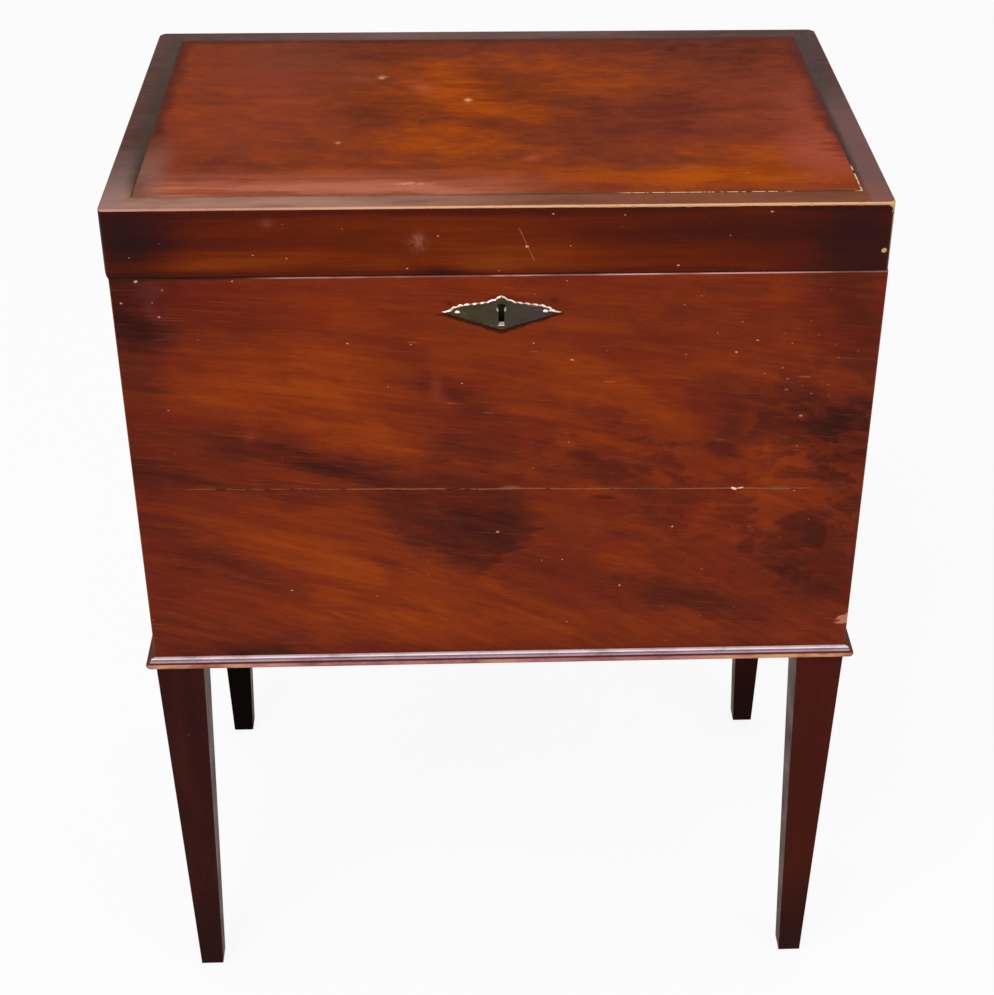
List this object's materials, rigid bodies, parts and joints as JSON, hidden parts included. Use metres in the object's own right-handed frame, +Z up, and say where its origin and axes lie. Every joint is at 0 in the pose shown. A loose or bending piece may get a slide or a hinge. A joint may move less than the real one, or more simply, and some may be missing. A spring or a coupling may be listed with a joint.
{
  "type": "cellarette",
  "caption": "Free-standing box on tapered legs, with a hinged box lid and a lock, divided inside for wine bottles.",
  "frame": {"origin": "on the floor, under the middle of the object's box", "axes": "+Z up; the front with the keyhole faces -Y; +X is to the right of someone who faces the front"},
  "size_m": [0.509, 0.3334, 0.6625],
  "materials": {
    "case_mahogany": "satin polish, worn",
    "lid_mahogany": "satin polish, worn",
    "figured_veneer": "glossy polish, worn",
    "crossband_veneer": "glossy polish, worn",
    "pale_stringing": "glossy polish, worn",
    "leg_mahogany": "satin polish, worn",
    "moulding_mahogany": "satin polish, worn",
    "inner_wood": "bare, dry",
    "aged_brass": "aged, dull",
    "old_iron": "dark, dull"
  },
  "bodies": {
    "case": {"front_upper_board": "case_mahogany", "front_lower_board": "case_mahogany", "back_board": "case_mahogany", "side_left": "case_mahogany", "side_right": "case_mahogany", "leg_front_left": "leg_mahogany", "leg_front_right": "leg_mahogany", "leg_back_left": "leg_mahogany", "leg_back_right": "leg_mahogany", "moulding_front": "moulding_mahogany", "moulding_left": "moulding_mahogany", "moulding_right": "moulding_mahogany", "bottom_board": "inner_wood", "bearer_front": "inner_wood", "bearer_back": "inner_wood", "divider_long_front": "inner_wood", "divider_long_back": "inner_wood", "divider_cross_left": "inner_wood", "divider_cross_middle": "inner_wood", "divider_cross_right": "inner_wood", "escutcheon": "aged_brass", "escutcheon_pin_left": "aged_brass", "escutcheon_pin_right": "aged_brass", "lock_screw_left": "aged_brass", "lock_screw_right": "aged_brass", "hinge_left_case_leaf": "aged_brass", "hinge_left_pin": "aged_brass", "hinge_left_case_screw_1": "aged_brass", "hinge_left_case_screw_2": "aged_brass", "hinge_right_case_leaf": "aged_brass", "hinge_right_pin": "aged_brass", "hinge_right_case_screw_1": "aged_brass", "hinge_right_case_screw_2": "aged_brass", "lock_case": "old_iron", "lock_cap": "old_iron"},
    "lid": {"lid_rim_front": "lid_mahogany", "lid_rim_back": "lid_mahogany", "lid_rim_left": "lid_mahogany", "lid_rim_right": "lid_mahogany", "lid_field": "figured_veneer", "lid_band_front": "crossband_veneer", "lid_band_back": "crossband_veneer", "lid_band_left": "crossband_veneer", "lid_band_right": "crossband_veneer", "lid_string_front": "pale_stringing", "lid_string_back": "pale_stringing", "lid_string_left": "pale_stringing", "lid_string_right": "pale_stringing", "lid_board": "inner_wood", "link_plate": "aged_brass", "link_screw_left": "aged_brass", "link_screw_right": "aged_brass", "hinge_left_lid_leaf": "aged_brass", "hinge_left_lid_screw_1": "aged_brass", "hinge_left_lid_screw_2": "aged_brass", "hinge_right_lid_leaf": "aged_brass", "hinge_right_lid_screw_1": "aged_brass", "hinge_right_lid_screw_2": "aged_brass"},
    "lock_bolt": {"lock_bolt": "aged_brass"}
  },
  "joints": [
    {"name": "lid_hinge", "type": "hinge", "parent": "case", "child": "lid", "pos_m": [0, 0.16175, 0.61515], "axis": [-1, 0, 0], "range_deg": [0, 95]},
    {"name": "lock_bolt_slide", "type": "slide", "parent": "case", "child": "lock_bolt", "axis": [1, 0, 0], "range_m": [0, 0.0065]}
  ]
}
